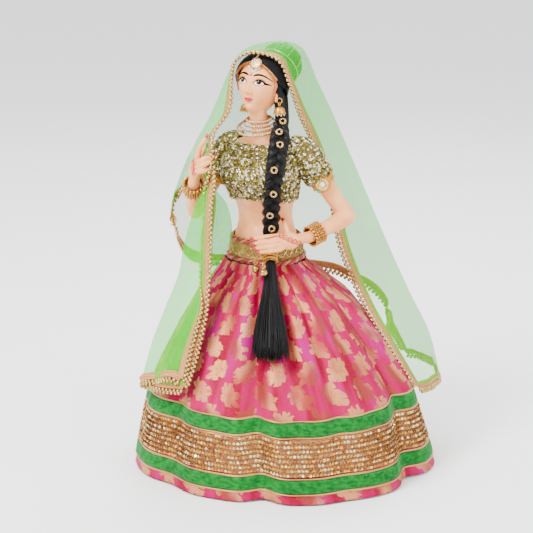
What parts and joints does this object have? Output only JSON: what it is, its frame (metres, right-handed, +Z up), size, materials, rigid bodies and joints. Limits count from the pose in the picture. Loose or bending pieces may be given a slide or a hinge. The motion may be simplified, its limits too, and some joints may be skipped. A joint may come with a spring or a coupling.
{
  "type": "standing bride doll",
  "caption": "Standing cloth-dressed doll with a moulded head and arms, flared skirt, sequinned blouse, long plait and a net veil held in one hand.",
  "frame": {"origin": "centre of the round base's underside, on the stand dowel's axis", "axes": "+Z up, the figure faces -Y, its left arm is on +X"},
  "size_m": [0.2831, 0.2678, 0.378],
  "materials": {
    "base_wood": "sanded",
    "dowel_wood": "sanded",
    "stiff_net": "stiff net",
    "skirt_brocade": "silk brocade",
    "green_velvet": "velvet",
    "sequins": "sequins and beads",
    "gold_braid": "metallic braid",
    "belt_brocade": "metallic brocade",
    "waist_cord": "twisted cord",
    "blouse_sequins": "ruffled sequins",
    "skin": "painted, satin",
    "steel_wire": "drawn",
    "hair": "glossy fibre",
    "green_satin": "satin",
    "gold_jewellery": "gold plated",
    "crystal": "faceted",
    "red_paint": "gloss",
    "white_stones": "stones in gold",
    "pearl": "pearl",
    "bell_brass": "satin",
    "green_net": "sheer net",
    "lace": "beaded lace"
  },
  "bodies": {
    "figure": {"base_disc": "base_wood", "stand_dowel": "dowel_wood", "petticoat": "stiff_net", "skirt": "skirt_brocade", "ribbon_lower": "green_velvet", "ribbon_upper": "green_velvet", "sequin_band": "sequins", "gold_piping": "gold_braid", "waist_belt": "belt_brocade", "waist_cord_lower": "waist_cord", "waist_cord_upper": "waist_cord", "blouse_body": "blouse_sequins", "sleeve_left": "blouse_sequins", "sleeve_right": "blouse_sequins", "torso": "skin", "head": "skin", "left_arm": "skin", "right_arm": "skin", "left_hand": "skin", "right_hand": "skin", "shoulder_pins": "steel_wire", "hair_cap": "hair", "bun_cover": "green_satin", "bun_cord": "gold_braid", "matha_patti": "gold_jewellery", "maang_tikka": "crystal", "bindi": "red_paint", "nose_pin": "gold_jewellery", "ear_hooks": "gold_jewellery", "armlet_left": "gold_jewellery", "armlet_right": "gold_jewellery", "necklace": "white_stones", "braid": "hair", "braid_flowers": "pearl", "braid_tie": "gold_jewellery", "veil": "green_net", "veil_lace": "lace"},
    "drop_left": {"jhumka_left": "gold_jewellery"},
    "drop_right": {"jhumka_right": "gold_jewellery"},
    "bangle_left": {"bangle_left": "gold_jewellery", "bangle_beads_left": "gold_jewellery"},
    "bangle_right": {"bangle_right": "gold_jewellery", "bangle_beads_right": "gold_jewellery"},
    "tassel": {"tassel": "hair"},
    "bell_left": {"bell_left": "bell_brass", "bell_pellet_left": "steel_wire"},
    "bell_right": {"bell_right": "bell_brass", "bell_pellet_right": "steel_wire"}
  },
  "joints": [
    {"name": "jhumka_left_swing", "type": "hinge", "parent": "figure", "child": "drop_left", "pos_m": [0.0165, -0.0085, 0.3257], "axis": [1, 0, 0], "range_deg": [-15, 15]},
    {"name": "jhumka_right_swing", "type": "hinge", "parent": "figure", "child": "drop_right", "pos_m": [-0.02, -0.0005, 0.3247], "axis": [1, 0, 0], "range_deg": [-15, 15]},
    {"name": "bangle_left_turn", "type": "hinge", "parent": "figure", "child": "bangle_left", "pos_m": [0.0542, -0.0124, 0.2136], "axis": [-0.4634, -0.8385, -0.2868], "continuous": true},
    {"name": "bangle_right_turn", "type": "hinge", "parent": "figure", "child": "bangle_right", "pos_m": [-0.0526, -0.0392, 0.2496], "axis": [0.2882, -0.643, 0.7095], "continuous": true},
    {"name": "tassel_swing", "type": "hinge", "parent": "figure", "child": "tassel", "pos_m": [0.02259, -0.03992, 0.19013], "axis": [0.2803, -0.6593, 0.6977], "range_deg": [-4, 10]},
    {"name": "bell_left_swing", "type": "hinge", "parent": "figure", "child": "bell_left", "pos_m": [0.0235, -0.0565, 0.1905], "axis": [0, 1, 0], "range_deg": [-20, 20]},
    {"name": "bell_right_swing", "type": "hinge", "parent": "figure", "child": "bell_right", "pos_m": [0.0125, -0.049, 0.191], "axis": [0, 1, 0], "range_deg": [-20, 20]}
  ]
}
